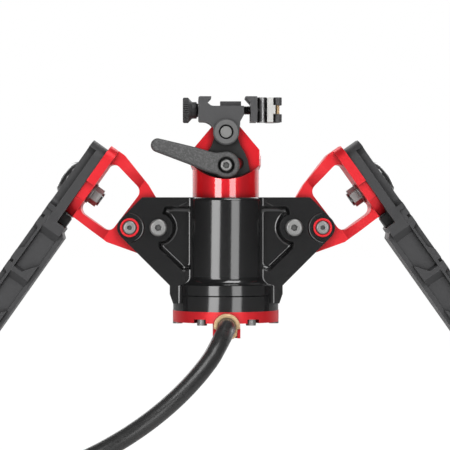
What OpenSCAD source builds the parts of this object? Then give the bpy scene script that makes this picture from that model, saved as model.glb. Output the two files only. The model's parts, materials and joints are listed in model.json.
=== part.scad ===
// Two-legged rest: a fluid-lifted column carries a canting rail clamp, and two splayed telescopic legs
// swing on hinged brackets. Millimetres, +Z up, legs spread along X, the rail runs along Y, and the
// origin is the middle of the rail seat on the column's axis.

/* [Rail clamp] */
// Depth of the clamp body along the rail
clamp_depth = 26; // [24:1:32]
// Gap left between the clamp body and the movable jaw
jaw_gap = 3.7; // [3.2:0.1:3.8]
// Height of the hooks above the rail seat
hook_h = 5.2; // [4.8:0.1:5.6]
// Radius of the knurled tension knob
knob_r = 7; // [6:0.1:7.5]
// Length of the quick-release handle
quick_len = 43; // [36:1:50]

/* [Cant head] */
// Depth of the cant pivot below the rail seat
cant_drop = 14.2; // [14:0.1:15]
// Distance from the cant pivot down to the lock lever's axis
cant_arm = 18.2; // [18:0.1:19]
// Half the thickness of the column head's blade
blade_half = 6.4; // [5.5:0.1:6.5]
// Length of the lock lever from its axis to its tip
lever_len = 38.8; // [32:0.2:44]

/* [Column and housing] */
// Radius of the lifting column
column_r = 18.3; // [17.5:0.1:18.5]
// Radius of the column's head
head_r = 19.4; // [19.2:0.1:20]
// How far the column stands up out of the housing
column_raise = 15; // [14.8:0.1:17]
// Height of the housing
housing_h = 61.8; // [61.8:0.1:66]
// Outer radius of the housing's tube
tube_r = 24.3; // [23.8:0.1:25]
// Radius of the housing's foot
base_r = 28.9; // [28:0.1:30]

/* [Legs] */
// Lean of the legs from the vertical, in degrees
leg_lean = 35.3; // [33:0.1:37]
// Half the width of a leg beam
beam_half = 15; // [14:0.5:16]
// Length of the leg beam below its swivel bolt
beam_len = 190; // [180:1:200]
// Spacing of the bands and pockets along the leg
band_pitch = 29.6; // [28:0.1:32]
// Travel of the telescopic section
leg_travel = 62; // [30:1:64]

/* [Hose] */
// Outer radius of the hose
hose_r = 4.75; // [4:0.05:5]

/* [Hidden] */
$fn = 64;

black = [0.13, 0.13, 0.14];
grey = [0.34, 0.34, 0.35];
dark = [0.26, 0.26, 0.27];
red = [0.80, 0.08, 0.10];
steel = [0.62, 0.62, 0.64];
brass = [0.80, 0.66, 0.38];
white = [0.92, 0.92, 0.90];
rubber = [0.07, 0.07, 0.07];

run = 0.05;                 // radial clearance of every running fit
slip = 0.1;                 // side clearance of every sliding face
over = 1;                   // how far a cutter runs past the face it opens

// Column and housing
rim_z = -34.8;
top_z = rim_z - column_raise;
base_z = top_z - housing_h;
shoulder_r = base_r - tube_r;
shoulder_z = base_z + 14;
bore_floor_z = base_z + 1.5;
ear_half = 15;
slot_half = 6.1;
slot_end_x = -31.5;
pocket_y = 9.5;
key_z = top_z - 12.2;
wiper_r = column_r + 1.6;

// Bracket hinge, on the left side
ear_x = -52.5;
ear_z = top_z - 16.5;
ear_r = 6.8;
spot_r = 8.25;
sleeve_r = 5.2;
lock_reach = 15.6;
lock_r = 2.5;
hinge_range = 10;
tongue_half = slot_half - slip;
tongue_r = 20.2;

// Column
cant_z = -cant_drop;
head_top_r = 7.9;
relief_r = 25.7;
column_end_z = -101;
seal_z = -98;

// Cant plate and lock lever
plate_r = 25;
plate_in = blade_half + slip;
plate_out = plate_in + 3;
lock_z = cant_z - cant_arm;
hub_r = 7.4;
hub_in = plate_out + slip;
hub_out = hub_in + 7;
lever_rise = 16.3;
stud_r = 2.5;

// Clamp
clamp_half = clamp_depth / 2;
lug_r = 7.1;
boss_h = 1;
pin_r = 2.5;
head_depth = 2.2;
screw_z = -2;
screw_r = 2.4;
body_left = -15.1;
body_right = 9.7;
jaw_x = body_right + jaw_gap;
jaw_back = jaw_x + 3.6;
bar_r = 2.8;
bar_x = jaw_back + bar_r;
pad_x = bar_x + bar_r + 0.7;
pad_t = 2.7;
eye_r = 2.4;
eye_x = pad_x + pad_t + eye_r + run;
cam_pin_r = 1.15;
neck_r = 0.6;
rotor_top = 5.1;
rotor_bottom = -8.8;
eye_low = -4.1;
eye_high = 0.8;

// Leg frame of the left side: X runs down the leg, Z points inwards, the origin is on the swivel axis
bolt_x = ear_x - 25.8;
bolt_z = ear_z + 22.1;
hinge_s = 25.8 * sin(leg_lean) * -1 + 22.1 * cos(leg_lean);
hinge_i = 25.8 * cos(leg_lean) + 22.1 * sin(leg_lean);
flange_t = 5.2;
flange_half = 17;
flange_top = -27.5;
bolt_r = 4;
inner_layer = 5.1;
leg_out = 9.55;
seam_i = -5.4;
leg_in = 5.6;
rail_in = 8;
step_s = 23.4;
catch_s = 17.25;
band_s = 27.7;
bands = 6;
slider_top = 19.9;
slider_end = beam_len + 26;
foot_s = slider_end + 6;
foot_i = -4;
foot_x = bolt_x - sin(leg_lean) * foot_s + cos(leg_lean) * foot_i;
foot_z = bolt_z - cos(leg_lean) * foot_s - sin(leg_lean) * foot_i;
foot_hub = 6.5;
foot_tongue = 5;
ground_z = foot_z - 16;

// Base
cap_r = base_r + 0.2;
cap_h = 6.2;
cap_z = base_z - cap_h;
cap_screw_ring = 26.4;
register_r = 23.1;
seal_w = 1.1;
port_z = base_z - 7.8;
port_r = 7.3;
prong_x = 5.65;
prong_reach = 3.6;
port_y = cap_r + 0.2;
fitting_r = 7.1;
hose_y = 30.8;
cuff = 11.5;

// ---------- helpers ----------

function unit(v) = v / norm(v);

function arc(cx, cy, r, a0, a1, n = 16) =
    [for (i = [0 : n]) let (a = a0 + (a1 - a0) * i / n) [cx + r * cos(a), cy + r * sin(a)]];

// Points of one rounded corner b between a and c
function corner(a, b, c, r, n = 6) =
    r <= 0 ? [b] :
    let (
        p = unit(a - b),
        q = unit(c - b),
        half = acos(p * q) / 2,
        mid = b + unit(p + q) * (r / sin(half)),
        s = b + p * (r / tan(half)) - mid,
        e = b + q * (r / tan(half)) - mid,
        turn = sign(s[0] * e[1] - s[1] * e[0])
    )
    [for (i = [0 : n])
        let (t = turn * (180 - 2 * half) * i / n)
        mid + [s[0] * cos(t) - s[1] * sin(t), s[0] * sin(t) + s[1] * cos(t)]];

// Closed outline through pts, each [x, y, corner radius]
function rounded(pts) =
    let (n = len(pts), p = [for (v = pts) [v[0], v[1]]])
    [for (i = [0 : n - 1])
        for (q = corner(p[(i + n - 1) % n], p[i], p[(i + 1) % n], pts[i][2])) q];

// Slot of half-width w along an arc of radius r, from angle mid - half to mid + half
module arc_slot(r, w, mid, half) {
    a = mid - half;
    b = mid + half;
    polygon(concat(
        arc(0, 0, r + w, a, b, 16),
        arc(r * cos(b), r * sin(b), w, b, b + 180, 10),
        arc(0, 0, r - w, b, a, 16),
        arc(r * cos(a), r * sin(a), w, a - 180, a, 10)
    ));
}

// Extrudes an XZ outline from y0 to y1
module plate(y0, y1) {
    translate([0, y1, 0])
        rotate([90, 0, 0])
            linear_extrude(y1 - y0)
                children();
}

module rod_x(r, x0, x1, fn = 64) {
    translate([x0, 0, 0])
        rotate([0, 90, 0])
            cylinder(r = r, h = x1 - x0, $fn = fn);
}

module rod_y(r, y0, y1, fn = 64) {
    translate([0, y1, 0])
        rotate([90, 0, 0])
            cylinder(r = r, h = y1 - y0, $fn = fn);
}

module rod_z(r, z0, z1, fn = 64) {
    translate([0, 0, z0])
        cylinder(r = r, h = z1 - z0, $fn = fn);
}

// A block between two corners
module block(a, b) {
    translate(a)
        cube(b - a);
}

module front_and_back() {
    children();
    mirror([0, 1, 0])
        children();
}

module both_sides() {
    children();
    mirror([1, 0, 0])
        children();
}

module on_side(right) {
    mirror([right ? 1 : 0, 0, 0])
        children();
}

// Puts leg-frame shapes in place on the left side
module in_leg() {
    translate([bolt_x, 0, bolt_z])
        rotate([0, 90 + leg_lean, 0])
            children();
}

// Button-head screw pointing along +Y, the underside of its head at y = 0
module button_screw(r, length, head_r, head_h, socket_r) {
    rim = head_h * 0.4;
    difference() {
        union() {
            rod_y(head_r, -rim, 0);
            translate([0, -rim, 0])
                rotate([90, 0, 0])
                    cylinder(r1 = head_r, r2 = head_r * 0.85, h = head_h - rim);
            rod_y(r, -rim, length);
        }
        rod_y(socket_r, -head_h - over, -head_h * 0.3, 6);
    }
}

// ---------- housing ----------

module ear_outline() {
    d = ear_r * sin(45);
    reach = top_z - (ear_z + d);
    side = ear_x - d + 26.61;
    polygon(concat(
        [[0, top_z], [ear_x - d + reach, top_z]],
        arc(ear_x, ear_z, ear_r, 135, 225, 10),
        [[side, ear_z - d - 26.61], [side, base_z + 9.3], [side + 1.8, base_z + 4.1], [0, base_z + 4.1]]
    ));
}

module pocket_outline() {
    difference() {
        polygon(rounded([
            [-31.9, top_z - 7.2, 1.5], [-20, top_z - 7.2, 1.5], [-20, top_z - 36.7, 1],
            [-22.8, top_z - 37.7, 1], [-34.4, top_z - 26.5, 1]
        ]));
        translate([ear_x + lock_reach, ear_z])
            circle(r = 10.1);
    }
}

module housing() {
    rim = 2;
    color(black)
    difference() {
        union() {
            rotate_extrude()
                polygon(concat(
                    [[0, base_z], [base_r, base_z], [base_r, base_z + 8], [base_r - 0.4, base_z + 8.4],
                     [base_r, base_z + 8.8]],
                    arc(base_r, shoulder_z + shoulder_r, shoulder_r, 270, 180, 10),
                    arc(tube_r - rim, top_z - rim, rim, 0, 90, 8),
                    [[0, top_z]]
                ));
            both_sides()
                plate(-ear_half, ear_half)
                    ear_outline();
        }
        rod_z(column_r + run, bore_floor_z, top_z + over);
        rod_z(column_r - 5, base_z - over, bore_floor_z + over);
        rod_z(wiper_r + 0.02, top_z - 3.2, top_z - 1);
        rod_z(register_r + run, base_z - over, base_z + 1.2);
        translate([0, 0, key_z])
            rod_y(2.02, column_r - 1, tube_r + over);
        for (i = [0 : 5])
            rotate([0, 0, 60 * i + 30])
                translate([0, -cap_screw_ring, 0])
                    rod_z(1.55, base_z - over, base_z + 8);
        both_sides() {
            block([ear_x - 20, -slot_half, ear_z - 36], [slot_end_x, slot_half, top_z + over]);
            translate([ear_x, 0, ear_z]) {
                rod_y(sleeve_r + run, -ear_half - over, ear_half + over);
                front_and_back()
                    rod_y(spot_r, -ear_half - over, 1.4 - ear_half);
            }
            translate([ear_x + lock_reach, 0, ear_z])
                rod_y(lock_r + run, -ear_half - over, ear_half + over);
            front_and_back()
                plate(-ear_half - over, -pocket_y)
                    pocket_outline();
        }
    }
}

module bottom_cap() {
    color(red)
    difference() {
        union() {
            rod_z(cap_r, cap_z, base_z);
            rod_z(register_r, base_z - over, base_z + 1.1);
            plate(-port_y, -10)
                polygon(concat(arc(0, port_z, port_r, 180, 0, 16),
                    [[port_r, cap_z - 7.6], [-port_r, cap_z - 7.6]]));
            both_sides()
                block([prong_x, -port_y - prong_reach, cap_z - 7.6],
                    [port_r, -port_y + over, port_z - 1.2]);
        }
        translate([0, 0, port_z]) {
            rod_y(4 + run, -port_y - over, -17);
            rod_y(2, -18, 2);
        }
        rod_z(2, port_z, base_z + 3);
        for (i = [0 : 5])
            rotate([0, 0, 60 * i + 30]) {
                translate([0, -cap_screw_ring, 0])
                    rod_z(1.7, cap_z - over, base_z + over);
                block([-3.7, -base_r - 5, cap_z - over], [3.7, 3.7 - cap_screw_ring, cap_z + 2.1]);
            }
        difference() {
            rod_z(register_r + seal_w, base_z - seal_w, base_z + 2);
            rod_z(register_r, base_z - 2, base_z + 3);
        }
    }
}

module cap_seal() {
    color(rubber)
        translate([0, 0, base_z])
            rotate_extrude()
                translate([register_r + seal_w / 2, -seal_w / 2])
                    circle(r = seal_w / 2 - 0.02, $fn = 24);
}

module cap_screws() {
    color(steel)
    for (i = [0 : 5])
        rotate([0, 0, 60 * i + 30])
            translate([0, -cap_screw_ring, cap_z])
                difference() {
                    union() {
                        rod_z(2.7, -1.2, 2.1);
                        rod_z(1.5, 0, 13);
                    }
                    rod_z(1.4, -3, 0.4, 6);
                }
}

module wiper_seal() {
    color(rubber)
    difference() {
        rod_z(wiper_r, top_z - 3.2, top_z - 1);
        rod_z(column_r + 0.03, top_z - 5, top_z + over);
    }
}

module guide_key() {
    color(steel)
    difference() {
        translate([0, 0, key_z])
            rod_y(2, column_r - 0.7, tube_r - 0.1);
        translate([0, 0, key_z])
            rod_y(1.1, tube_r - 2, tube_r + 1, 6);
    }
}

module pivot_sleeves() {
    color(red)
    both_sides()
        translate([ear_x, 0, ear_z])
            difference() {
                rod_y(sleeve_r, -ear_half + 0.2, ear_half - 0.2);
                rod_y(2.05, -ear_half - over, ear_half + over);
                front_and_back()
                    rod_y(3.85, -ear_half - over, 1.8 - ear_half);
            }
}

module pivot_screws() {
    color(steel)
    both_sides()
        front_and_back()
            translate([ear_x, 1.8 - ear_half, ear_z])
                button_screw(2, 11, 3.8, 2.1, 1.25);
}

module lock_bolts() {
    color(steel)
    both_sides()
        translate([ear_x + lock_reach, -ear_half, ear_z])
            button_screw(lock_r, 2 * ear_half + 5, 4.75, 2.8, 1.7);
}

module lock_nuts() {
    color(steel)
    both_sides()
        translate([ear_x + lock_reach, 0, ear_z])
            difference() {
                rod_y(4.6, ear_half, ear_half + 4, 6);
                rod_y(lock_r + run, ear_half - over, ear_half + 5);
            }
}

// ---------- hose ----------

// Each bend: start point, direction, side it bends to, radius, angle
function bend_end(b) = b[0] + b[1] * (b[3] * sin(b[4])) + b[2] * (b[3] * (1 - cos(b[4])));
function bend_out(b) = b[1] * cos(b[4]) + b[2] * sin(b[4]);
function square_to(v, t) = unit(v - t * (v * t));
function next_bend(b, side, r, angle) =
    let (t = bend_out(b))
    [bend_end(b), t, square_to(side, t), r, angle];

bend_1 = [[0, -hose_y - 3.2, port_z], [0, -1, 0], [-sin(30.6), 0, -cos(30.6)], 34, 54];
bend_2 = next_bend(bend_1, [-0.72, 0.39, 0.58], 55, 6.2);
bend_3 = next_bend(bend_2, [-0.65, 0.72, 0.24], 114.5, 59.7);
hose_bends = [bend_1, bend_2, bend_3];
hose_dir = bend_out(bend_3);
hose_tip = bend_end(bend_3) + hose_dir * cuff;

// Moves +Z onto direction d at point p
module along(p, d) {
    translate(p)
        rotate([0, acos(d[2]), atan2(d[1], d[0])])
            children();
}

module hose_band(p, d) {
    along(p, d)
        rod_z(hose_r + 0.02, -0.5, 0.5);
}

module hose() {
    color(rubber)
    union() {
        translate([0, 0, port_z])
            rod_y(hose_r, -hose_y - 3.2, -hose_y);
        along(hose_tip, hose_dir)
            rod_z(hose_r, -cuff, 0);
        // Thin bands over the joints between the bends keep the hose in one piece
        hose_band(bend_1[0], bend_1[1]);
        for (b = hose_bends)
            hose_band(bend_end(b), bend_out(b));
        for (b = hose_bends) {
            x = -b[2];
            y = b[1];
            z = cross(x, y);
            o = b[0] + b[2] * b[3];
            multmatrix([
                [x[0], y[0], z[0], o[0]],
                [x[1], y[1], z[1], o[1]],
                [x[2], y[2], z[2], o[2]],
                [0, 0, 0, 1]
            ])
                rotate_extrude(angle = b[4])
                    translate([b[3], 0])
                        circle(r = hose_r, $fn = 32);
        }
    }
}

module hose_fitting() {
    color(brass)
    translate([0, 0, port_z])
        difference() {
            union() {
                rod_y(fitting_r - 0.7, -port_y - 4, -port_y);
                rod_y(fitting_r, -port_y - 3.3, -port_y);
                rod_y(4, -port_y, -19);
            }
            rod_y(hose_r + run, -port_y - 5, -hose_y);
            rod_y(1.8, -port_y - 5, -16);
            both_sides()
                block([prong_x - slip, -port_y - 5, -10], [10, -port_y, slip - 1.2]);
        }
}

module hose_end_fitting() {
    color(brass)
    along(hose_tip, hose_dir)
        difference() {
            union() {
                rod_z(6.4, -11, 0.5);
                rod_z(7.8, 0.5, 8.5, 6);
                rod_z(5.2, 8.5, 20);
            }
            rod_z(hose_r + run, -12, 0);
            rod_z(2, -1, 21);
        }
}

// ---------- column ----------

module head_outline() {
    slant = 50;
    tx = head_top_r * sin(slant);
    tz = cant_z + head_top_r * cos(slant);
    corner_z = tz - (head_r - tx) * tan(slant);
    polygon(concat(
        arc(0, cant_z, head_top_r, 90 + slant, 90 - slant, 16),
        [[head_r, corner_z], [head_r, -45], [-head_r, -45], [-head_r, corner_z]]
    ));
}

module lift_column() {
    color(red)
    difference() {
        union() {
            intersection() {
                rotate_extrude()
                    polygon([[0, rim_z], [head_r - 1, rim_z], [head_r, rim_z + 2.4], [head_r, 0], [0, 0]]);
                plate(-30, 30)
                    head_outline();
            }
            rod_z(column_r, column_end_z, rim_z + 0.5);
        }
        front_and_back()
            translate([0, 0, cant_z])
                rod_y(relief_r, -30, -blade_half);
        translate([0, 0, cant_z])
            rod_y(pin_r + run, -10, 10);
        translate([0, 0, lock_z])
            rod_y(stud_r, -10, 4);
        rod_z(12.5, column_end_z - over, -58);
        block([-2.1, column_r - 1.3, -95.5], [2.1, column_r + 2, -50]);
        difference() {
            rod_z(column_r + over, seal_z - 1.5, seal_z + 1.5);
            rod_z(column_r - 2, seal_z - 2, seal_z + 2);
        }
    }
}

module piston_seal() {
    color(rubber)
    difference() {
        rod_z(column_r + 0.02, seal_z - 1.4, seal_z + 1.4);
        rod_z(column_r - 1.95, seal_z - 3, seal_z + 3);
    }
}

module cant_lock_screw() {
    color(steel)
    translate([0, 0, lock_z])
        difference() {
            union() {
                rod_y(stud_r, -hub_out + 4, 3.5);
                rod_y(3.5, -hub_out + 1, -hub_out + 4);
            }
            rod_y(1.75, -hub_out, -hub_out + 2.6, 6);
        }
}

module cant_lever() {
    tip = lever_len;
    color(dark)
    translate([0, 0, lock_z])
        rotate([0, lever_rise, 0])
            difference() {
                union() {
                    rod_y(hub_r, -hub_out, -hub_in);
                    plate(-hub_out + 0.8, -hub_in - 0.8)
                        polygon(concat(
                            [[-3, -hub_r + 0.05], [-9, -6.6], [-20, -5]],
                            arc(-tip, 0, 3.8, 264, 96, 14),
                            [[-20, 4.7], [-11, 4.9], [-6.5, 5.2], [-3, 6.7]]
                        ));
                }
                rod_y(stud_r + run, -20, 0);
                rod_y(4.5, -hub_out - over, -hub_out + 4.2);
            }
}

// ---------- clamp ----------

module clamp_outline() {
    vertex_x = -10.5;
    vertex_z = 2.1;
    polygon(concat(
        rounded([
            [-8.1, hook_h - 0.7, 0], [-8.1, hook_h, 0], [body_left, hook_h, 1], [body_left, -8.3, 1],
            [-12.7, -8.3, 0]
        ]),
        arc(-12.7, -14.6, 6.3, 88, 10, 8),
        arc(0, cant_z, lug_r, 180, 365, 28),
        [[7.7, -10], [7.7, -8.5], [body_right, -5], [body_right, 0]],
        [[-7, 0], [-8.3, 0.3], [-9.3, 1.1], [vertex_x, vertex_z]]
    ));
}

module clamp_body() {
    color(grey)
    difference() {
        union() {
            plate(-clamp_half, clamp_half)
                clamp_outline();
            front_and_back()
                translate([0, 0, cant_z])
                    rod_y(lug_r - 0.1, -clamp_half - boss_h, -clamp_half);
        }
        // Room for the blade and for the cant plate's ring
        translate([0, 0, cant_z])
            rod_y(head_top_r + 0.4, -blade_half - slip, blade_half + slip);
        block([-30, -blade_half - slip, -40], [30, blade_half + slip, cant_z]);
        block([-30, -blade_half - slip, -40], [-3.8, blade_half + slip, -8.6]);
        block([3.8, -blade_half - slip, -40], [30, blade_half + slip, -8.2]);
        translate([0, 0, cant_z])
            rod_y(lug_r + 0.1, -plate_out, -blade_half);
        block([-9, -plate_out, -30], [9, -blade_half, cant_z]);
        translate([0, 0, cant_z]) {
            rod_y(pin_r + 0.02, -20, 20);
            front_and_back()
                rod_y(3.9, -20, head_depth - clamp_half);
        }
        translate([0, 0, screw_z])
            rod_x(screw_r + run, -30, 30);
    }
}

module cant_plate() {
    slot = 3.2;
    half = 20;
    side = [[6.5, cant_z - 3], [6.9, -18.6], [8.1, -22], [9.9, -24.8], [11.7, -28.8]];
    a = atan2(-21.3, 13.1);
    color(dark)
    difference() {
        plate(-plate_out, -plate_in)
            polygon(concat(
                arc(0, cant_z, lug_r - 0.1, 30, 150, 10),
                [for (i = [0 : len(side) - 1]) [-side[i][0], side[i][1]]],
                arc(0, cant_z, plate_r, 180 - a, 360 + a, 24),
                [for (i = [len(side) - 1 : -1 : 0]) side[i]]
            ));
        translate([0, 0, cant_z]) {
            rod_y(pin_r + 0.02, -20, 20);
            plate(-20, 0)
                arc_slot(cant_arm, slot, -90, half);
        }
    }
}

module cant_pivot_pin() {
    color(steel)
    translate([0, 0, cant_z]) {
        rod_y(pin_r, -clamp_half, clamp_half);
        front_and_back()
            rod_y(3.1, -clamp_half - 0.3, head_depth - clamp_half);
    }
}

module recoil_key() {
    color(grey)
    difference() {
        plate(-2.6, 2.6)
            polygon(rounded([[-3.1, 0, 0], [-3.1, 2.9, 0.3], [8.4, 2.9, 0.3], [8.4, 0, 0]]));
        translate([0, 0, screw_z])
            rod_x(screw_r + run, -30, 30);
    }
}

// Threaded bar through the clamp, ending in a thin neck that is held in the cam pin
module drawbar() {
    color(steel)
    translate([0, 0, screw_z])
        union() {
            rod_x(screw_r, -17.6, pad_x + pad_t);
            rod_x(neck_r, pad_x + pad_t, eye_x + cam_pin_r - 0.1, 24);
        }
}

module jaw_outline() {
    polygon(rounded([
        [jaw_x - 2.8, hook_h - 0.7, 0], [jaw_x - 2.8, hook_h, 0], [jaw_back, hook_h, 0.3],
        [jaw_back, -8.5, 0.3], [jaw_x, -8.5, 0], [jaw_x, 1.5, 0]
    ]));
}

module clamp_jaw() {
    color(grey)
    difference() {
        plate(-clamp_half, clamp_half)
            jaw_outline();
        translate([0, 0, screw_z])
            rod_x(screw_r + 0.02, -30, 40);
    }
}

module pressure_bar() {
    color(steel)
    difference() {
        translate([bar_x, 0, 0])
            rod_z(bar_r, rotor_bottom, rotor_top);
        translate([0, 0, screw_z])
            rod_x(screw_r + 0.02, 0, 40);
    }
}

module pressure_pad() {
    color(white)
    difference() {
        union() {
            block([pad_x - 0.7, -4.4, rotor_bottom + 0.2], [pad_x + pad_t, 4.4, rotor_top - 0.2]);
            block([pad_x + 1, -4.4, eye_low + slip], [eye_x - cam_pin_r - slip, 4.4, eye_high - slip]);
        }
        translate([bar_x, 0, 0])
            rod_z(bar_r + 0.02, -20, 20);
        translate([0, 0, screw_z])
            rod_x(screw_r + 0.02, 0, 40);
    }
}

module cam_pin() {
    color(brass)
    difference() {
        translate([eye_x, 0, 0])
            rod_z(cam_pin_r, rotor_bottom + 0.8, rotor_top - 0.8);
        translate([0, 0, screw_z])
            rod_x(neck_r + 0.02, 20, 40, 24);
    }
}

module cam_lever() {
    upper = [eye_high, rotor_top];
    lower = [rotor_bottom + 0.3, eye_low];
    grip_inset = 1.6;
    color(grey)
    difference() {
        union() {
            for (z = [upper, lower]) {
                translate([eye_x, 0, 0])
                    rod_z(eye_r, z[0], z[1]);
                translate([0, 0, z[0]])
                    linear_extrude(z[1] - z[0])
                        polygon([[eye_x - 1.4, 0.3], [eye_x + 2.35, 0], [eye_x + 1.5, 9], [eye_x - 2, 16.5],
                            [eye_x - 6.4, 16.5], [eye_x - 3.3, 9], [eye_x - 2, 5]]);
            }
            translate([0, 0, lower[0] + grip_inset])
                linear_extrude(upper[1] - lower[0] - 2 * grip_inset)
                    polygon(concat(
                        [[eye_x - 6.6, 15.2], [eye_x - 2, 15.2], [eye_x - 3.5, 22]],
                        [[eye_x - 4, quick_len - 3], [eye_x - 5, quick_len - 0.8], [eye_x - 7, quick_len],
                         [eye_x - 9, quick_len - 1.5], [eye_x - 9.5, quick_len - 6], [eye_x - 8.6, 22]]
                    ));
        }
        translate([eye_x, 0, 0])
            rod_z(cam_pin_r + run, -20, 20);
    }
}

module tension_knob() {
    ridges = 36;
    color(grey)
    translate([0, 0, screw_z])
        difference() {
            rotate([0, -90, 0])
                rotate_extrude()
                    polygon([[0, 15.2], [3.7, 15.2], [3.7, 15.8], [4.6, 16], [4.6, 18.5],
                        [knob_r - 0.3, 20.4], [knob_r, 20.7], [knob_r, 23.2], [knob_r - 0.4, 23.6],
                        [0, 23.6]]);
            rod_x(screw_r + run, -22, -10);
            for (i = [0 : ridges - 1])
                rotate([360 * i / ridges, 0, 0])
                    translate([0, 0, knob_r + 0.1])
                        rod_x(0.36, -25, -20.2, 16);
        }
}

// ---------- bracket ----------

module flange_outline() {
    polygon(concat(
        rounded([[0, -flange_half, 0], [flange_top, -flange_half, 8], [flange_top, flange_half, 8],
            [0, flange_half, 0]]),
        arc(0, 0, flange_half, 90, -90, 28)
    ));
}

// Frame between the flange and the housing's ears, as a leg-frame XZ outline
module frame_outline() {
    difference() {
        polygon(concat(
            [[flange_top + 2, 0.5], [flange_top, 3], [flange_top, 8.6], [-21.8, 28.5], [-18.7, 35.5]],
            arc(hinge_s, hinge_i, tongue_r, 90 + leg_lean + 27, 90 + leg_lean - 27, 10),
            [[12.3, 45], [17, 28], [16.2, 8], [16, 0.5]]
        ));
        polygon(rounded([
            [-21.5, flange_t, 4], [-17, 27.6, 4.5], [11.7, 26.6, 4], [11.7, flange_t, 4.5]
        ]));
    }
}

module bracket(right) {
    slack = hinge_range + 1.5;
    color(red)
    on_side(right)
    difference() {
        in_leg()
            difference() {
                union() {
                    linear_extrude(flange_t)
                        flange_outline();
                    intersection() {
                        plate(-20, 20)
                            frame_outline();
                        rotate([0, 90, 0])
                            translate([0, 0, -40])
                                linear_extrude(80)
                                    polygon([[-5, -12], [-5, 12], [-17, 11], [-25.6, tongue_half],
                                        [-70, tongue_half], [-70, -tongue_half], [-25.6, -tongue_half],
                                        [-17, -11]]);
                    }
                }
                rod_z(bolt_r + run, -over, flange_t + 3);
                rod_z(6.4, flange_t, flange_t + 9);
                front_and_back()
                    block([-4.3, -flange_half - over, -over], [6.2, 1.8 - flange_half, flange_t + over]);
                translate([hinge_s, 0, hinge_i])
                    rod_y(sleeve_r + run, -20, 20);
            }
        translate([ear_x, 0, ear_z])
            plate(-20, 20)
                arc_slot(lock_reach, lock_r + 0.15, 0, slack);
    }
}

// ---------- legs ----------

module leg_bolt(right) {
    color(dark)
    on_side(right)
        in_leg()
            difference() {
                union() {
                    translate([0, 0, -leg_out - slip - 3.6])
                        rotate_extrude()
                            polygon([[0, 0], [4, 0.1], [6.6, 0.7], [8.6, 1.7], [9.8, 3], [10, 3.6],
                                [0, 3.6]]);
                    rod_z(bolt_r, -leg_out - 1, flange_t + 7);
                }
                rod_z(2.9, -leg_out - 6, -leg_out - 2, 6);
            }
}

module leg_nut(right) {
    color(steel)
    on_side(right)
        in_leg()
            difference() {
                union() {
                    rod_z(6.1, flange_t, flange_t + 1.2);
                    rod_z(5.3, flange_t + 1.2, flange_t + 6, 6);
                }
                rod_z(bolt_r + run, 0, 20);
            }
}

// Sloped-end pocket in the front face, as a leg-frame XY outline
module pocket_side(s0, s1, depth, ramp) {
    polygon([[s0, -beam_half - over], [s0, -beam_half], [s0 + ramp, depth - beam_half],
        [s1 - 1.5, depth - beam_half], [s1, -beam_half], [s1, -beam_half - over]]);
}

module leg_beam(right) {
    head_half = 16.5;
    color(grey)
    on_side(right)
        in_leg()
            difference() {
                union() {
                    difference() {
                        translate([0, 0, -leg_out])
                            linear_extrude(leg_out - slip / 2)
                                polygon(rounded([
                                    [-24.6, -head_half, 9], [17, -head_half, 0], [step_s, -beam_half, 0],
                                    [step_s, beam_half, 0], [17, head_half, 0], [-24.6, head_half, 9]
                                ]));
                        front_and_back()
                            translate([0, 0, -leg_out - over])
                                linear_extrude(leg_out - inner_layer + over)
                                    polygon(rounded([
                                        [-21, -head_half - 2, 0], [-21, -11.5, 5], [17, -11.5, 5],
                                        [17, -head_half - 2, 0]
                                    ]));
                        block([slider_top - slip, -20, -20], [40, 20, seam_i]);
                    }
                    block([slider_top, -beam_half, seam_i], [step_s + 1, beam_half, -slip / 2]);
                    plate(-beam_half, beam_half)
                        polygon([[step_s, seam_i], [step_s, leg_in - 1.4], [step_s + 0.8, leg_in],
                            [beam_len - 2, leg_in], [beam_len, leg_in - 2], [beam_len, seam_i]]);
                    plate(-beam_half + 2, beam_half - 2)
                        polygon([[band_s - 1, leg_in], [band_s + 1.2, rail_in], [beam_len - 6, rail_in],
                            [beam_len - 3, leg_in]]);
                }
                rod_z(bolt_r + run, -20, 2);
                // Catch pocket
                block([step_s - over, -6.1, 0], [step_s + 3, 6.1, 5.1]);
                // T-slot for the telescopic section
                block([step_s + 1, -4.1, seam_i - over], [beam_len + over, 4.1, 0]);
                block([step_s + 1, -7.1, -1.9], [beam_len + over, 7.1, 1.3]);
                // Pockets in the front and back faces
                front_and_back()
                    for (i = [0 : bands - 2]) {
                        s = band_s + 1.5 + i * band_pitch;
                        intersection() {
                            translate([0, 0, -20])
                                linear_extrude(40)
                                    pocket_side(s, s + band_pitch - 2.4, 2.6, 4);
                            plate(-30, 0)
                                polygon([[s - 1, seam_i - over], [s - 1, leg_in],
                                    [s + band_pitch - 10, leg_in], [s + band_pitch, -2],
                                    [s + band_pitch, seam_i - over]]);
                        }
                    }
                translate([beam_len - 12, 0, 0])
                    rod_z(2.5 + run, 0, 20);
            }
}

module catch(right) {
    color(dark)
    on_side(right)
        in_leg()
            plate(-6, 6)
                polygon(rounded([
                    [catch_s, 0.05, 0], [catch_s, 4, 0.6], [catch_s + 1.2, 4.9, 0.6],
                    [step_s - 0.2, 4.9, 0], [step_s - 0.2, 0.05, 0]
                ]));
}

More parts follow.
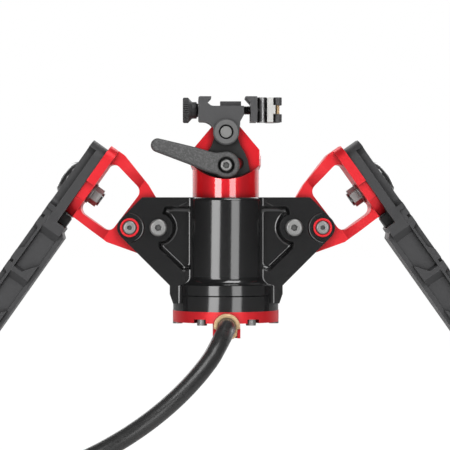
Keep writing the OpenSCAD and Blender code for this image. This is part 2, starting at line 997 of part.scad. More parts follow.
module leg_slider(right) {
    color(grey)
    on_side(right)
        in_leg()
            difference() {
                union() {
                    plate(-beam_half, beam_half)
                        polygon([[slider_top, seam_i - slip / 2], [slider_top, -leg_out],
                            [slider_end - 6, -leg_out], [slider_end, seam_i - 2],
                            [slider_end, seam_i - slip / 2]]);
                    block([step_s + 1.2, -4, seam_i - 0.5], [beam_len + 8, 4, 0]);
                    block([step_s + 1.2, -7, -1.8], [beam_len + 8, 7, 1.2]);
                    // Clevis for the foot
                    front_and_back()
                        plate(-10.5, -foot_tongue - slip)
                            polygon(concat(
                                [[beam_len + 6, seam_i - 0.5], [slider_end - 4, foot_i + foot_hub]],
                                arc(foot_s, foot_i, foot_hub, 90, -90, 14),
                                [[beam_len + 6, -leg_out]]
                            ));
                }
                translate([foot_s, 0, foot_i])
                    rod_y(2.5 + 0.02, -20, 20);
                front_and_back()
                    for (i = [0 : bands]) {
                        s = band_s + i * band_pitch;
                        block([s - 3.8, -beam_half - over, -leg_out - over],
                            [s - 2, 2.4 - beam_half, -leg_out + 2.2]);
                        intersection() {
                            translate([0, 0, -20])
                                linear_extrude(40)
                                    pocket_side(s + 2, s + band_pitch - 8, 2.2, 3);
                            plate(-30, 0)
                                polygon([[s + 2, -leg_out - over], [s + 4, -6.7],
                                    [s + band_pitch - 13, -6.7], [s + band_pitch - 8, -leg_out - over]]);
                        }
                    }
            }
}

module thumb_screw(right) {
    color(dark)
    on_side(right)
        in_leg()
            translate([beam_len - 12, 0, 0])
                difference() {
                    union() {
                        rod_z(2.5, 1.4, 16);
                        rod_z(5, rail_in + slip, 12);
                        rod_z(9, 12, 19);
                    }
                    for (i = [0 : 11])
                        rotate([0, 0, 30 * i])
                            translate([9.6, 0, 0])
                                rod_z(1.2, 11, 20, 24);
                }
}

module foot(right) {
    color(dark)
    on_side(right)
        translate([foot_x, 0, foot_z])
            difference() {
                union() {
                    plate(-foot_tongue, foot_tongue)
                        polygon(concat(arc(0, 0, foot_hub - 0.5, 10, 170, 14), [[-8, -9], [8, -9]]));
                    rod_z(15, -12.8, -8.2);
                }
                rod_y(2.5 + run, -20, 20);
            }
}

module foot_pin(right) {
    color(steel)
    on_side(right)
        translate([foot_x, 0, foot_z])
            rod_y(2.5, -10.8, 10.8);
}

module foot_pad(right) {
    color(rubber)
    on_side(right)
        translate([foot_x, 0, foot_z])
            difference() {
                rod_z(16, ground_z - foot_z, -11);
                rod_z(15.02, -12.8, -10);
            }
}

housing();
bottom_cap();
cap_screws();
cap_seal();
wiper_seal();
guide_key();
pivot_sleeves();
pivot_screws();
lock_bolts();
lock_nuts();
hose_fitting();
hose();
hose_end_fitting();
lift_column();
piston_seal();
cant_lock_screw();
cant_lever();
clamp_body();
cant_plate();
cant_pivot_pin();
recoil_key();
drawbar();
clamp_jaw();
pressure_bar();
pressure_pad();
cam_pin();
cam_lever();
tension_knob();
bracket(false);  // bracket_left
leg_bolt(false);  // leg_bolt_left
leg_nut(false);  // leg_nut_left
leg_beam(false);  // leg_beam_left
catch(false);  // catch_left
leg_slider(false);  // leg_slider_left
thumb_screw(false);  // thumb_screw_left
foot(false);  // foot_left
foot_pin(false);  // foot_pin_left
foot_pad(false);  // foot_pad_left
bracket(true);  // bracket_right
leg_bolt(true);  // leg_bolt_right
leg_nut(true);  // leg_nut_right
leg_beam(true);  // leg_beam_right
catch(true);  // catch_right
leg_slider(true);  // leg_slider_right
thumb_screw(true);  // thumb_screw_right
foot(true);  // foot_right
foot_pin(true);  // foot_pin_right
foot_pad(true);  // foot_pad_right
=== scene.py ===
import json
import math

import bmesh
import bpy
from mathutils import Matrix, Vector


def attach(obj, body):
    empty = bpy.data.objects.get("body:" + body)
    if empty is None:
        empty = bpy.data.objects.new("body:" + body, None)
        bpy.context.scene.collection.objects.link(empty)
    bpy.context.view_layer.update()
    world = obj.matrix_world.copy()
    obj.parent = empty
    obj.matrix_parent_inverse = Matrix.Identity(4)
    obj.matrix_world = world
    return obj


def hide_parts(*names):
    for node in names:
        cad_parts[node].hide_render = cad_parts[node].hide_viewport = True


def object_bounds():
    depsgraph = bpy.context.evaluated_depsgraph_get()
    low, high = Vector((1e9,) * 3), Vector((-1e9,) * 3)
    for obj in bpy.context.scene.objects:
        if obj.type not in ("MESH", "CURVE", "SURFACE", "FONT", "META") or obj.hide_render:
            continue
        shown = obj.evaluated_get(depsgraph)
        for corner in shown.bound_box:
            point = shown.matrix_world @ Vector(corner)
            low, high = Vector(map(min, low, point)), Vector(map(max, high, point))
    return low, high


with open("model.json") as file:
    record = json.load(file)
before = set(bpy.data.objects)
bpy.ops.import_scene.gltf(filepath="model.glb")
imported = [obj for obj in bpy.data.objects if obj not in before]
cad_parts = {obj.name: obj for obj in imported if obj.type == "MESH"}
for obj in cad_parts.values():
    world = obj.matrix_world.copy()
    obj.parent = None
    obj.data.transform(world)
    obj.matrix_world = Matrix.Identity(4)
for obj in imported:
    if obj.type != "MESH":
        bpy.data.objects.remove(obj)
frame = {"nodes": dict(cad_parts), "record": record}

CAD_BOX = [list(v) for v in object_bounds()]
MM = 0.001
WELD = 0.002 * MM       # vertices of a CAD mesh closer than this are one
SAME = 0.0002 * MM      # vertices of a rounded mesh closer than this are one
DRIFT = 55              # scale of the slow colour drift, per metre
nodes = frame["nodes"]
scene = bpy.context.scene


# ---------- materials ----------

class Nodes:
    """Short-hand for building one material's node tree."""

    def __init__(self, name):
        self.mat = bpy.data.materials.new(name)
        self.mat.use_nodes = True
        self.tree = self.mat.node_tree
        self.bsdf = self.tree.nodes["Principled BSDF"]
        self.pos = self.add("ShaderNodeTexCoord").outputs["Object"]

    def add(self, kind, **values):
        node = self.tree.nodes.new(kind)
        for key, value in values.items():
            if key in node.inputs:
                node.inputs[key].default_value = value
            else:
                setattr(node, key, value)
        return node

    def link(self, a, b):
        self.tree.links.new(a, b)

    def set(self, socket, value):
        self.bsdf.inputs[socket].default_value = value

    def noise(self, scale, detail):
        node = self.add("ShaderNodeTexNoise", Scale=scale, Detail=detail, Roughness=0.55)
        self.link(self.pos, node.inputs["Vector"])
        return node.outputs["Fac"]

    def spread(self, value, low, high, from_low=0.3, from_high=0.7):
        node = self.add("ShaderNodeMapRange")
        for key, v in (("From Min", from_low), ("From Max", from_high), ("To Min", low), ("To Max", high)):
            node.inputs[key].default_value = v
        self.link(value, node.inputs["Value"])
        return node.outputs["Result"]

    def mix(self, factor, a, b):
        node = self.add("ShaderNodeMix", data_type="RGBA")
        for socket, v in ((node.inputs[0], factor), (node.inputs[6], a), (node.inputs[7], b)):
            if isinstance(v, tuple):
                socket.default_value = (*v, 1.0)
            else:
                self.link(v, socket)
        return node.outputs[2]

    def painted_shade(self, colour, depth, reach=4 * MM):
        """The colour with painted shade: darkened by ambient occlusion, down to depth of it, in grooves and
        bores.
        """
        ao = self.add("ShaderNodeAmbientOcclusion", samples=6)
        ao.inputs["Distance"].default_value = reach
        dark = self.add("ShaderNodeMix", data_type="RGBA", blend_type="MULTIPLY")
        dark.inputs[0].default_value = 1.0
        self.link(colour, dark.inputs[6])
        tone = self.add("ShaderNodeValToRGB")
        self.link(ao.outputs["AO"], tone.inputs["Fac"])
        tone.color_ramp.elements[0].position = 0.25
        tone.color_ramp.elements[0].color = (depth, depth, depth, 1)
        tone.color_ramp.elements[1].position = 0.95
        self.link(tone.outputs["Color"], dark.inputs[7])
        return dark.outputs[2]

    def bump(self, height, strength, distance):
        node = self.add("ShaderNodeBump", Strength=strength, Distance=distance)
        self.link(height, node.inputs["Height"])
        return node.outputs["Normal"]

    def edges(self, radius):
        """0 on open faces and up to 1 on outer edges."""
        bevel = self.add("ShaderNodeBevel", samples=4, Radius=radius)
        geo = self.add("ShaderNodeNewGeometry")
        dot = self.add("ShaderNodeVectorMath", operation="DOT_PRODUCT")
        self.link(bevel.outputs["Normal"], dot.inputs[0])
        self.link(geo.outputs["Normal"], dot.inputs[1])
        return self.spread(dot.outputs["Value"], 1.0, 0.0, 0.86, 0.99)


def metal(name, tone, rough, metallic, worn, wear=0.3, grain=2400, grain_bump=0.1, grain_depth=0.04,
          blotch=0.1, speckle=0.0, shade=0.25, specular=0.3, coat=0.0, coat_ior=1.5, coat_rough=0.12):
    """Anodised, coated or bare metal with a fine grain, slow colour drift, lighter worn edges and painted
    shade in grooves and bores.
    """
    n = Nodes(name)
    low = tuple(c * (1 - blotch) for c in tone)
    high = tuple(min(1, c * (1 + blotch)) for c in tone)
    colour = n.mix(n.noise(DRIFT, 4), low, high)
    if speckle:
        bright = tuple(min(1, c * 2.4) for c in tone)
        colour = n.mix(n.spread(n.noise(grain, 2), 0.0, speckle, 0.45, 0.65), colour, bright)
    broken = n.add("ShaderNodeMath", operation="MULTIPLY")
    n.link(n.edges(0.35 * MM), broken.inputs[0])
    n.link(n.spread(n.noise(420, 3), 0.0, wear, 0.42, 0.62), broken.inputs[1])
    colour = n.mix(broken.outputs[0], colour, worn)
    # painted shade: the base colour is darkened by ambient occlusion in grooves, bores and recesses
    n.link(n.painted_shade(colour, shade), n.bsdf.inputs["Base Color"])
    n.link(n.spread(n.noise(160, 4), rough - 0.05, rough + 0.06), n.bsdf.inputs["Roughness"])
    n.set("Metallic", metallic)
    n.set("Coat Weight", coat)
    n.set("Coat Roughness", coat_rough)
    n.set("Coat IOR", coat_ior)
    n.set("Specular IOR Level", specular)
    n.link(n.bump(n.noise(grain, 2), grain_bump, grain_depth * MM), n.bsdf.inputs["Normal"])
    return n.mat


def soft_plastic(name, tone, rough, grain, grain_bump, grain_depth, sheen=0.0, specular=0.5):
    """Rubber and plastic with a moulded micro-texture and painted shade in grooves and bores."""
    n = Nodes(name)
    low = tuple(c * 0.85 for c in tone)
    high = tuple(min(1, c * 1.15) for c in tone)
    # painted shade: the base colour is darkened by ambient occlusion in grooves, bores and recesses
    n.link(n.painted_shade(n.mix(n.noise(90, 4), low, high), 0.6), n.bsdf.inputs["Base Color"])
    n.link(n.spread(n.noise(220, 3), rough - 0.06, rough + 0.08), n.bsdf.inputs["Roughness"])
    n.set("Specular IOR Level", specular)
    n.set("Sheen Weight", sheen)
    n.link(n.bump(n.noise(grain, 3), grain_bump, grain_depth * MM), n.bsdf.inputs["Normal"])
    return n.mat


def grey(value):
    """A neutral colour."""
    return (value, value, value)


PINK = (0.95, 0.35, 0.33)
MATERIALS = {
    "black_anodised": metal("black_anodised", (0.010, 0.010, 0.0105), 0.4, 0.1, grey(0.3), 0.2,
                            grain_bump=0.04, blotch=0.12, specular=0.12, coat=1.0, coat_ior=1.7),
    "red_anodised": metal("red_anodised", (0.80, 0.014, 0.024), 0.42, 0.6, PINK, grain=3000, grain_bump=0.03,
                          blotch=0.03, shade=0.2, specular=0.08, coat=1.0, coat_ior=2.0, coat_rough=0.08),
    "grey_anodised": metal("grey_anodised", (0.088, 0.088, 0.09), 0.5, 0.3, grey(0.42), grain=2200,
                           grain_bump=0.2, blotch=0.05),
    "dark_coat": metal("dark_coat", grey(0.026), 0.52, 0.2, grey(0.25), 0.2, grain=1500, grain_bump=0.4,
                       blotch=0.12),
    "steel": metal("steel", (0.31, 0.31, 0.305), 0.4, 0.75, grey(0.75), grain=2600, blotch=0.08),
    "brass": metal("brass", (0.85, 0.6, 0.34), 0.36, 0.45, (0.95, 0.8, 0.55), 0.4, grain=2600,
                   grain_bump=0.06),
    "rubber": soft_plastic("rubber", grey(0.03), 0.3, 1700, 0.2, 0.05, sheen=0.05),
    "white_plastic": soft_plastic("white_plastic", (0.66, 0.66, 0.64), 0.5, 1500, 0.1, 0.03, specular=0.2),
}
CAST = metal("cast_coat", grey(0.092), 0.5, 0.25, grey(0.25), grain=1300, grain_bump=0.75, grain_depth=0.1,
             blotch=0.12, speckle=0.4)
TURNED = metal("turned_alloy", grey(0.165), 0.45, 0.5, grey(0.5), grain_bump=0.15, blotch=0.05)
OILED = metal("oiled_steel", grey(0.10), 0.28, 0.9, grey(0.6), 0.35, grain_bump=0.08, blotch=0.12, coat=0.3)
GROUND = metal("ground_steel", grey(0.33), 0.33, 0.95, grey(0.7), grain=2600, grain_bump=0.04, blotch=0.04)
LEG_GREY = metal("leg_grey", (0.062, 0.062, 0.064), 0.48, 0.3, grey(0.35), grain=2200, grain_bump=0.2,
                 blotch=0.06, shade=0.15)
POLISHED = metal("polished_coat", grey(0.05), 0.4, 0.5, grey(0.3), 0.2, grain=1500, grain_bump=0.08,
                 blotch=0.12, coat=1.0, coat_ior=1.9, coat_rough=0.1)
SATIN_RED = metal("satin_red", (0.80, 0.022, 0.032), 0.45, 0.5, PINK, grain=3000, grain_bump=0.05,
                  blotch=0.03, specular=0.12, coat=0.35, coat_rough=0.3)
SLOT = {s["node"]: s["material_slot"] for s in frame["record"]["subparts"]}


def dress(obj, slot, material=None):
    """Gives an object its slot's material, or a special one."""
    obj.data.materials.clear()
    obj.data.materials.append(material or MATERIALS[slot])


# ---------- CAD nodes ----------

def join(obj, distance):
    """Joins vertices closer than the distance, with a modifier."""
    weld = obj.modifiers.new("weld", "WELD")
    weld.merge_threshold = distance


def soften(obj, width, segments=3, angle=30):
    """Rounds the sharp edges with modifiers, leaving the mesh itself alone."""
    join(obj, WELD)
    bevel = obj.modifiers.new("bevel", "BEVEL")
    bevel.width = width
    bevel.segments = segments
    bevel.limit_method = "ANGLE"
    bevel.angle_limit = math.radians(angle)
    bevel.miter_outer = "MITER_ARC"
    bevel.use_clamp_overlap = True
    join(obj, SAME)


def even_normals(obj, weight=80):
    """Lets large faces keep their own direction where they meet small ones."""
    normals = obj.modifiers.new("normals", "WEIGHTED_NORMAL")
    normals.keep_sharp = False
    normals.weight = weight


# Width of the edge rounding for each material slot, in mm.
WIDTH = {
    "black_anodised": 0.35, "red_anodised": 0.3, "grey_anodised": 0.3, "dark_coat": 0.35, "steel": 0.15,
    "brass": 0.2, "rubber": 0.2, "white_plastic": 0.2,
}
for name, obj in nodes.items():
    dress(obj, SLOT[name])
    soften(obj, WIDTH[SLOT[name]] * MM)
    even_normals(obj)


# ---------- replacement pieces ----------

# Places and sizes that the finer pieces share with the CAD, in mm. The left side is at negative X.
TOP_Z = -49.8           # top of the housing
BASE_Z = -111.6         # underside of the housing
TUBE_R = 24.3           # the housing's tube
BASE_R = 28.9           # the housing's foot
EAR_X = -52.5           # hinge axis of the left ear
EAR_Z = -66.3
EAR_HALF = 15.0         # half the ears' thickness
LOCK_X = EAR_X + 15.6   # the splay lock's bolt, beside the hinge
SPOT_R = 8.25           # counterbore around a hinge sleeve
SLEEVE_Y = 13.2         # end faces of the hinge sleeves
POCKET_Y = 9.5          # floor of the ears' pockets
INNER_WALL = -19.2      # a pocket comes no closer to the middle
PIVOT_Z = -14.2         # axis of the cant pivot
LEVER_Z = -32.4         # axis of the lock lever
LEVER_RISE = 16.3       # how far the lock lever's tip points up, in degrees
DRAWBAR_Z = -2.0        # axis of the drawbar and its knob


def new_object(name, mesh):
    obj = bpy.data.objects.new(name, mesh)
    scene.collection.objects.link(obj)
    return obj


def copy_of(node, name):
    """An editable copy of a CAD node, with its split vertices joined."""
    mesh = nodes[node].data.copy()
    mesh.name = name
    bm = bmesh.new()
    bm.from_mesh(mesh)
    bmesh.ops.remove_doubles(bm, verts=bm.verts, dist=WELD)
    bm.to_mesh(mesh)
    bm.free()
    mesh.materials.clear()
    for shading in ("custom_normal", "sharp_edge", "sharp_face"):
        if shading in mesh.attributes:
            mesh.attributes.remove(mesh.attributes[shading])
    return new_object(name, mesh)


def apply(obj):
    """Bakes an object's modifiers into its mesh."""
    deps = bpy.context.evaluated_depsgraph_get()
    mesh = bpy.data.meshes.new_from_object(obj.evaluated_get(deps))
    old = obj.data
    obj.modifiers.clear()
    obj.data = mesh
    bpy.data.meshes.remove(old)


def cut(obj, tool, operation="DIFFERENCE"):
    """Cuts the tool out of the object, or joins it on with UNION, and uses the tool up."""
    mod = obj.modifiers.new("cut", "BOOLEAN")
    mod.operation = operation
    mod.solver = "EXACT"
    mod.object = tool
    bpy.context.view_layer.update()
    apply(obj)
    bpy.data.objects.remove(tool)


def loft(name, rings, endless=False):
    """A closed solid through equal-length rings of points in mm: capped, or endless like a washer."""
    bm = bmesh.new()
    rows = [[bm.verts.new([c * MM for c in p]) for p in ring] for ring in rings]
    n = len(rings[0])
    following = rows[1:] + rows[:1] if endless else rows[1:]
    for a, b in zip(rows, following):
        for i in range(n):
            bm.faces.new((a[i], a[(i + 1) % n], b[(i + 1) % n], b[i]))
    if not endless:
        bm.faces.new(list(reversed(rows[0])))
        bm.faces.new(rows[-1])
    bmesh.ops.recalc_face_normals(bm, faces=bm.faces)
    mesh = bpy.data.meshes.new(name)
    bm.to_mesh(mesh)
    bm.free()
    return new_object(name, mesh)


def arc(cx, cz, r, a0, a1, n=12):
    """Points along an arc between two angles in degrees, both ends included."""
    angles = [math.radians(a0 + (a1 - a0) * i / n) for i in range(n + 1)]
    return [(cx + r * math.cos(a), cz + r * math.sin(a)) for a in angles]


def circle(cx, cz, r, n):
    """The n points of a full circle."""
    return arc(cx, cz, r, 0, 360 * (n - 1) / n, n - 1)


def grown(points, d):
    """Moves every side of a convex outline outwards by d."""
    out = []
    n = len(points)
    after = points[1:] + points[:1]
    twice_area = sum(p[0] * q[1] - q[0] * p[1] for p, q in zip(points, after))
    sign = 1 if twice_area > 0 else -1
    for i in range(n):
        p, q, r = (Vector(points[(i + k) % n]) for k in (-1, 0, 1))
        a = (q - p).normalized()
        b = (r - q).normalized()
        mitre = Vector((a.y + b.y, -a.x - b.x)) * sign
        out.append(tuple(q + mitre * (2 * d / mitre.length_squared)))
    return out


def rounded(points, radius, n=5):
    """The outline with every corner rounded."""
    out = []
    count = len(points)
    for i in range(count):
        a, b, c = (Vector(points[(i + k) % count]) for k in (-1, 0, 1))
        p = (a - b).normalized()
        q = (c - b).normalized()
        half = math.acos(max(-1, min(1, p.dot(q)))) / 2
        reach = radius / math.tan(half)
        start, end = b + p * reach, b + q * reach
        for k in range(n + 1):
            t = k / n
            out.append(tuple(start * (1 - t) ** 2 + b * 2 * t * (1 - t) + end * t * t))
    return out


def clean(obj):
    """Removes faces that are doubled or hang loosely."""
    bm = bmesh.new()
    bm.from_mesh(obj.data)
    by_corners = {}
    for f in bm.faces:
        by_corners.setdefault(tuple(sorted(v.index for v in f.verts)), []).append(f)
    doubled = [f for group in by_corners.values() if len(group) > 1 for f in group]
    bmesh.ops.delete(bm, geom=doubled, context="FACES")
    hanging = [f for f in bm.faces if all(len(e.link_faces) != 2 for e in f.edges)]
    bmesh.ops.delete(bm, geom=hanging, context="FACES")
    bm.to_mesh(obj.data)
    bm.free()


def smooth(obj):
    for p in obj.data.polygons:
        p.use_smooth = True


def round_edges(obj, width, segments=3, angle=28):
    """Rounds a piece's sharp edges for good and shades it smooth."""
    soften(obj, width, segments, angle)
    apply(obj)
    clean(obj)
    smooth(obj)
    even_normals(obj)


def finish_piece(obj, slot, body, *replaced, material=None):
    """Gives a piece its material and body, and hides the CAD nodes it stands in for."""
    dress(obj, slot, material)
    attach(obj, body)
    if replaced:
        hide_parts(*replaced)


def junction_fillet(side, face):
    """Concave fillet where an ear's flat face runs into the tube, the shoulder and the base."""
    radius = 3.0
    lap = 0.4               # how far the fillet runs on past each level
    foot_top = 4.3          # height of the foot's flange
    shoulder = BASE_Z + 14
    rise = BASE_R - TUBE_R
    levels = [(BASE_Z + foot_top, BASE_R), (shoulder - lap, BASE_R)]
    for t in range(8, 91, 9):
        a = math.radians(t)
        levels.append((shoulder + rise * (1 - math.cos(a)), BASE_R - rise * math.sin(a)))
    levels += [(shoulder + rise + lap, TUBE_R), (TOP_Z - lap, TUBE_R)]
    steps = 8
    rings = []
    for z, r in levels:
        cy = EAR_HALF + radius
        cx = math.sqrt((r + radius) ** 2 - cy ** 2)
        turn = math.atan2(cx, cy)
        turns = [turn * k / steps for k in range(steps + 1)]
        ring = [(cx - radius * math.sin(a), cy - radius * math.cos(a)) for a in turns]
        ring += [(ring[-1][0] - 1.2, ring[-1][1] - 1.6), (cx, EAR_HALF - 1.2)]
        rings.append([(-x * side, -y * face, z) for x, y in ring])
    return loft("fillet", rings)


def spot_fillet(side, face):
    """Concave fillet at the foot of the counterbore around a hinge sleeve, fading out at both ends."""
    floor = EAR_HALF - 1.4
    sunk = 0.6
    largest = 1.15
    steps = [math.radians(t) for t in range(0, 91, 15)]
    rings = []
    for degrees in range(-92, 93, 8):
        a = math.radians(degrees)
        size = largest * max(0.05, math.cos(a * 0.97)) ** 0.4
        section = [(SPOT_R - size * (1 - math.sin(t)), floor + size * (1 - math.cos(t))) for t in steps]
        section += [(SPOT_R + sunk, floor + size), (SPOT_R + sunk, floor - sunk)]
        section.append((SPOT_R - size, floor - sunk))
        rings.append([((EAR_X + r * math.cos(a)) * side, -y * face, EAR_Z + r * math.sin(a))
                      for r, y in section])
    return loft("fillet", rings)


def housing():
    """The CAD housing with filleted joins, and its four pockets opened into sloping walls."""
    obj = copy_of("housing", "housing_shell")
    corners = [(-31.9, -57), (-20, -57), (-20, -86.5), (-22.8, -87.5), (-34.4, -76.3)]
    floor = POCKET_Y + 0.02
    fill_depths = (floor - 0.4, floor + 2.2)
    fillet = 2.4
    shift = 1.85            # how far the walls stand back from the corners above the fillet
    opening = 2.5           # and at the ear's face
    beyond = 2              # how far the cutter runs on past the face
    boss_r = 10.1           # left standing around the lock bolt
    steps = [math.radians(t) for t in (0, 10, 20, 30, 42, 56, 70)]
    wall = [(floor + fillet * (1 - math.cos(t)), shift - fillet * (1 - math.sin(t))) for t in steps]
    wall += [(EAR_HALF, opening), (EAR_HALF + beyond, opening + 0.1)]
    for side in (1, -1):
        for face in (1, -1):
            cut(obj, junction_fillet(side, face), "UNION")
            cut(obj, spot_fillet(side, face), "UNION")
            filled = rounded(grown(corners, 0.05), 1)
            fill = [[(x * side, -y * face, z) for x, z in filled] for y in fill_depths]
            cut(obj, loft("fill", fill), "UNION")
            rings, cones = [], []
            for y, grow in wall:
                ring = rounded(grown(corners, grow), 1.9 + grow * 0.4)
                rings.append([(min(x, INNER_WALL) * side, -y * face, z) for x, z in ring])
                past = {wall[0][0]: -0.5, wall[-1][0]: 0.5}.get(y, 0)
                cones.append([(x * side, -(y + past) * face, z)
                              for x, z in circle(LOCK_X, EAR_Z, boss_r - grow, 48)])
            cutter = loft("cutter", rings)
            cut(cutter, loft("cone", cones))
            cut(obj, cutter)
    round_edges(obj, 0.45 * MM)
    finish_piece(obj, "black_anodised", "housing", "housing")


def lever():
    """The lock lever: a cast arm and hub in one smooth form, with a counterbore for its screw."""
    y_in, y_out = -9.75, -16.6
    hub = 7.4
    tip = 38.8
    outline = (
        arc(0, 0, hub, -118, 112, 30)
        + [(-6.2, 5.35), (-8.2, 4.85), (-11, 4.75), (-15, 4.75), (-20, 4.65), (-28, 4.3)]
        + arc(-tip, 0, 3.75, 96, 264, 16)
        + [(-28, -4.6), (-20, -5.2), (-15, -5.7), (-9, -6.5)]
    )
    obj = loft("lock_lever", [[(x, y, z) for x, z in outline] for y in (y_in, y_out)])
    bevel = obj.modifiers.new("round", "BEVEL")
    bevel.width = 1.7 * MM
    bevel.segments = 5
    bevel.limit_method = "ANGLE"
    bevel.angle_limit = math.radians(50)
    apply(obj)
    shank, head, mouth = 2.55, 4.5, 5.3
    seat_y = -12.5
    profile = [(shank, 2), (shank, seat_y), (head - 0.15, seat_y), (head, -16.1)]
    profile += [(mouth, -16.7), (mouth, -19)]
    cut(obj, loft("bore", [[(x, y, z) for x, z in circle(0, 0, r, 64)] for r, y in profile]))
    raised = Matrix.Rotation(math.radians(LEVER_RISE), 4, "Y")
    obj.data.transform(Matrix.Translation((0, 0, LEVER_Z * MM)) @ raised)
    round_edges(obj, 0.2 * MM, 2, 40)
    finish_piece(obj, "dark_coat", "lock_lever", "cant_lever", material=CAST)


def knob():
    """Tension knob with straight knurling, a cone and a collar, and a blind bore for the drawbar."""
    ridges = 36
    tooth = (0.0, 0.3, 1.2, 0.3)        # depth of the knurl at the four steps of a ridge
    steps = ridges * len(tooth)
    # Each profile point is (distance from the middle plane, radius, share of the knurl's depth).
    bore = [(21.3, 2.6, 0), (15.2, 2.6, 0)]
    collar = [(15.2, 3.5, 0), (15.35, 3.7, 0), (15.85, 3.7, 0), (16.0, 4.45, 0), (16.2, 4.6, 0),
              (18.3, 4.6, 0)]
    cone = [(18.6, 4.75, 0), (20.3, 6.55, 0)]
    grip = [(20.5, 6.75, 0.5), (20.75, 7.0, 1), (22.0, 7.0, 1), (23.1, 7.0, 1), (23.4, 6.75, 0.5)]
    end = [(23.6, 6.4, 0), (23.6, 3.2, 0), (23.3, 2.9, 0)]
    rings = []
    for x, r, knurl in bore + collar + cone + grip + end:
        ring = []
        for i in range(steps):
            a = 2 * math.pi * i / steps
            cut_r = r - tooth[i % len(tooth)] * knurl
            ring.append((-x, cut_r * math.sin(a), cut_r * math.cos(a) + DRAWBAR_Z))
        rings.append(ring)
    obj = loft("tension_knob_body", rings)
    smooth(obj)
    even_normals(obj, 50)
    finish_piece(obj, "grey_anodised", "knob", "tension_knob")


def turned(name, profile, centre, steps=56):
    """A body turned about an axis along Y: profile is (y, radius) from one end to the other, in mm."""
    cx, _, cz = centre
    return loft(name, [[(x, y, z) for x, z in circle(cx, cz, r, steps)] for y, r in profile])


def button_screw(centre, face, r, length, head_r, head_h, socket):
    """Button-head screw whose head sits at y = centre's y, facing -Y (face 1) or +Y (face -1)."""
    cx, seat, cz = centre
    rim = 0.42 * head_h
    dome = [(-head_h + (head_h - rim) * (1 - math.cos(a)), head_r * (0.72 + 0.28 * math.sin(a)))
            for a in (math.radians(t) for t in (0, 15, 32, 50, 70, 90))]
    profile = [(-head_h, head_r * 0.45), *dome, (-0.15, head_r), (0.0, head_r - 0.15), (0.0, r), (length, r)]
    screw = turned("screw", [(seat + face * y, rr) for y, rr in profile], centre)
    mouth = socket * 1.12
    hexes = []
    for depth, rr in ((head_h + 1, mouth), (head_h, mouth), (head_h - 0.25, socket),
                      (head_h * 0.25, socket * 0.98)):
        corners = [math.radians(60 * i + 15) for i in range(6)]
        hexes.append([(cx + rr * math.cos(a), seat - face * depth, cz + rr * math.sin(a)) for a in corners])
    cut(screw, loft("socket", hexes))
    return screw


def joined(name, objects):
    """One object from several."""
    bm = bmesh.new()
    for o in objects:
        bm.from_mesh(o.data)
        bpy.data.objects.remove(o)
    mesh = bpy.data.meshes.new(name)
    bm.to_mesh(mesh)
    bm.free()
    return new_object(name, mesh)


def screws():
    """Every button-head screw that shows, in place of the plain CAD ones."""
    pivots, locks = [], []
    for side in (1, -1):
        for face in (1, -1):
            centre = (side * EAR_X, -SLEEVE_Y * face, EAR_Z)
            pivots.append(button_screw(centre, face, r=2, length=11, head_r=3.8, head_h=2.1, socket=1.25))
        centre = (side * LOCK_X, -EAR_HALF, EAR_Z)
        locks.append(button_screw(centre, 1, r=2.5, length=35, head_r=4.75, head_h=2.6, socket=1.75))
    centre = (0, -13.2, LEVER_Z)
    lever_screw = button_screw(centre, 1, r=2.5, length=9.6, head_r=3.5, head_h=2.4, socket=1.75)
    for name, parts, body, node in (
            ("pivot_screw_set", pivots, "housing", "pivot_screws"),
            ("lock_bolt_set", locks, "housing", "lock_bolts"),
            ("lever_screw", [lever_screw], "column", "cant_lock_screw")):
        obj = joined(name, parts)
        round_edges(obj, 0.12 * MM, 2, 40)
        finish_piece(obj, "steel", body, node)


def lug_faces():
    """Turned faces around the cant pivot, front and back."""
    lug_y = 14.0
    section = [(3.95, 0.0), (3.95, 0.22), (4.15, 0.35), (6.35, 0.35), (6.6, 0.15), (6.6, 0.0), (6.2, -0.4),
               (4.4, -0.4)]
    steps = 72
    turns = [2 * math.pi * i / steps for i in range(steps)]
    for face, name in ((1, "lug_face_front"), (-1, "lug_face_back")):
        rings = [[(r * math.cos(a), -face * (lug_y + h), r * math.sin(a) + PIVOT_Z) for r, h in section]
                 for a in turns]
        obj = loft(name, rings, endless=True)
        round_edges(obj, 0.08 * MM, 2)
        finish_piece(obj, "grey_anodised", "cant_clamp", material=TURNED)


def threaded_bar():
    """The drawbar with its thread, and the thin neck held in the cam pin."""
    pitch = 0.8
    turns = 54
    root, crest, neck = 2.12, 2.4, 0.6
    start = -17.4
    profile = [(start - 0.2, root - 0.02)]
    for k in range(turns):
        x = start + k * pitch
        profile += [(x, root), (x + pitch * 0.3, crest), (x + pitch * 0.5, crest), (x + pitch * 0.8, root)]
    profile += [(25.9, root), (26.0, neck), (29.5, neck)]
    rings = [[(x, y, z) for y, z in circle(0, DRAWBAR_Z, r, 40)] for x, r in profile]
    obj = loft("drawbar_thread", rings)
    round_edges(obj, 0.04 * MM, 1, 50)
    finish_piece(obj, "steel", "jaw", "drawbar", material=OILED)


housing()
lever()
knob()
screws()
lug_faces()
threaded_bar()
dress(nodes["pressure_bar"], "steel", GROUND)
for side_name in ("left", "right"):
    dress(nodes[f"leg_bolt_{side_name}"], "dark_coat", POLISHED)
    dress(nodes[f"leg_beam_{side_name}"], "grey_anodised", LEG_GREY)
    dress(nodes[f"leg_slider_{side_name}"], "grey_anodised", LEG_GREY)
for name in ("bottom_cap", "bracket_left", "bracket_right", "pivot_sleeves"):
    dress(nodes[name], "red_anodised", SATIN_RED)


# ---------- stage ----------

def set_inputs(node, **values):
    for key, value in values.items():
        node.inputs[key].default_value = value


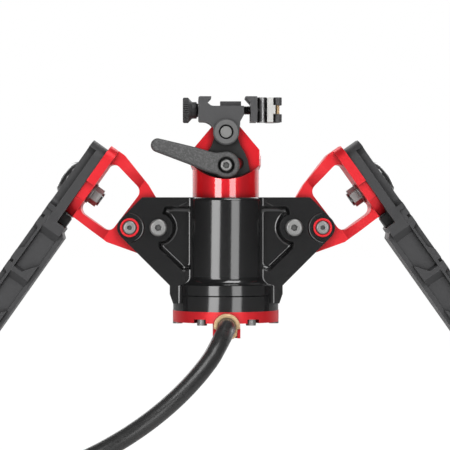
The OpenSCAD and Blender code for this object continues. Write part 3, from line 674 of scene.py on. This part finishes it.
def ground():
    """A wide floor under the feet that the camera sees as almost plain white."""
    z = CAD_BOX[0][2]
    reach = 6
    mesh = bpy.data.meshes.new("floor")
    corners = [(-reach, -reach, z), (reach, -reach, z), (reach, reach, z), (-reach, reach, z)]
    mesh.from_pydata(corners, [], [(0, 1, 2, 3)])
    new_object("floor", mesh)
    mat = bpy.data.materials.new("floor")
    mat.use_nodes = True
    tree = mat.node_tree
    bsdf = tree.nodes["Principled BSDF"]
    set_inputs(bsdf, **{"Base Color": (0.8, 0.8, 0.8, 1), "Roughness": 0.8})
    glow = tree.nodes.new("ShaderNodeEmission")
    set_inputs(glow, Color=(1, 1, 1, 1), Strength=1.08)
    ray = tree.nodes.new("ShaderNodeLightPath")
    mix = tree.nodes.new("ShaderNodeMixShader")
    seen = tree.nodes.new("ShaderNodeMixShader")
    set_inputs(seen, Fac=0.92)
    tree.links.new(bsdf.outputs[0], seen.inputs[1])
    tree.links.new(glow.outputs[0], seen.inputs[2])
    tree.links.new(ray.outputs["Is Camera Ray"], mix.inputs["Fac"])
    tree.links.new(bsdf.outputs[0], mix.inputs[1])
    tree.links.new(seen.outputs[0], mix.inputs[2])
    tree.links.new(mix.outputs[0], tree.nodes["Material Output"].inputs["Surface"])
    mesh.materials.append(mat)


def studio():
    """White to the camera; for light and reflections, dark in the middle and bright behind."""
    world = bpy.data.worlds.new("studio")
    scene.world = world
    world.use_nodes = True
    tree = world.node_tree
    tree.nodes.clear()
    out = tree.nodes.new("ShaderNodeOutputWorld")
    ray = tree.nodes.new("ShaderNodeLightPath")
    coord = tree.nodes.new("ShaderNodeTexCoord")
    split = tree.nodes.new("ShaderNodeSeparateXYZ")
    ramp = tree.nodes.new("ShaderNodeValToRGB")
    tree.links.new(coord.outputs["Generated"], split.inputs[0])
    half = tree.nodes.new("ShaderNodeMapRange")
    set_inputs(half, **{"From Min": -1, "From Max": 1})
    tree.links.new(split.outputs["Y"], half.inputs["Value"])
    tree.links.new(half.outputs["Result"], ramp.inputs["Fac"])
    near, far = ramp.color_ramp.elements
    near.position = 0.0
    near.color = (0.1, 0.1, 0.1, 1)
    far.position = 0.9
    far.color = (1.0, 1.0, 1.0, 1)
    middle = ramp.color_ramp.elements.new(0.6)
    middle.color = (0.03, 0.03, 0.03, 1)
    dimmed = tree.nodes.new("ShaderNodeBackground")
    tree.links.new(ramp.outputs["Color"], dimmed.inputs["Color"])
    set_inputs(dimmed, Strength=0.75)
    white = tree.nodes.new("ShaderNodeBackground")
    set_inputs(white, Color=(1, 1, 1, 1), Strength=1.0)
    mix = tree.nodes.new("ShaderNodeMixShader")
    tree.links.new(ray.outputs["Is Camera Ray"], mix.inputs["Fac"])
    tree.links.new(dimmed.outputs[0], mix.inputs[1])
    tree.links.new(white.outputs[0], mix.inputs[2])
    tree.links.new(mix.outputs[0], out.inputs["Surface"])


def softbox(name, azimuth, elevation, distance, width, height, power):
    """An area light aimed at the part: azimuth from the camera's side, positive to the right."""
    data = bpy.data.lights.new(name, "AREA")
    data.shape = "RECTANGLE"
    data.size = width
    data.size_y = height
    data.energy = power
    light = bpy.data.objects.new(name, data)
    a, e = math.radians(azimuth), math.radians(elevation)
    back = Vector((math.sin(a) * math.cos(e), -math.cos(a) * math.cos(e), math.sin(e)))
    target = Vector((0, 0, -0.09))
    light.location = target + back * distance
    light.rotation_mode = "QUATERNION"
    light.rotation_quaternion = (-back).to_track_quat("-Z", "Y")
    light.visible_camera = False
    scene.collection.objects.link(light)


def camera():
    """A long lens on the front, just above the middle of the view."""
    distance = 1.2
    frame_width = 0.2475
    rise = 0.012
    azimuth = math.radians(-1)
    target = Vector((-0.0004, 0, -0.065))
    data = bpy.data.cameras.new("camera")
    data.sensor_width = 36
    data.lens = data.sensor_width * distance / frame_width
    data.clip_start = 0.05
    data.clip_end = 50
    cam = bpy.data.objects.new("camera", data)
    cam.location = target + Vector((distance * math.sin(azimuth), -distance * math.cos(azimuth), rise))
    cam.rotation_mode = "QUATERNION"
    cam.rotation_quaternion = (target - cam.location).to_track_quat("-Z", "Y")
    scene.collection.objects.link(cam)
    scene.camera = cam


ground()
studio()
camera()
softbox("box_left", azimuth=-27, elevation=3, distance=1.3, width=0.5, height=1.0, power=8.2)
softbox("box_right", azimuth=23, elevation=3, distance=1.3, width=0.46, height=1.0, power=5.0)
softbox("top_fill", azimuth=25, elevation=58, distance=1.4, width=0.7, height=0.7, power=9)
softbox("back_left", azimuth=150, elevation=25, distance=1.5, width=0.8, height=1.2, power=6)
softbox("back_right", azimuth=-150, elevation=25, distance=1.5, width=0.8, height=1.2, power=6)
scene.view_settings.view_transform = "Standard"
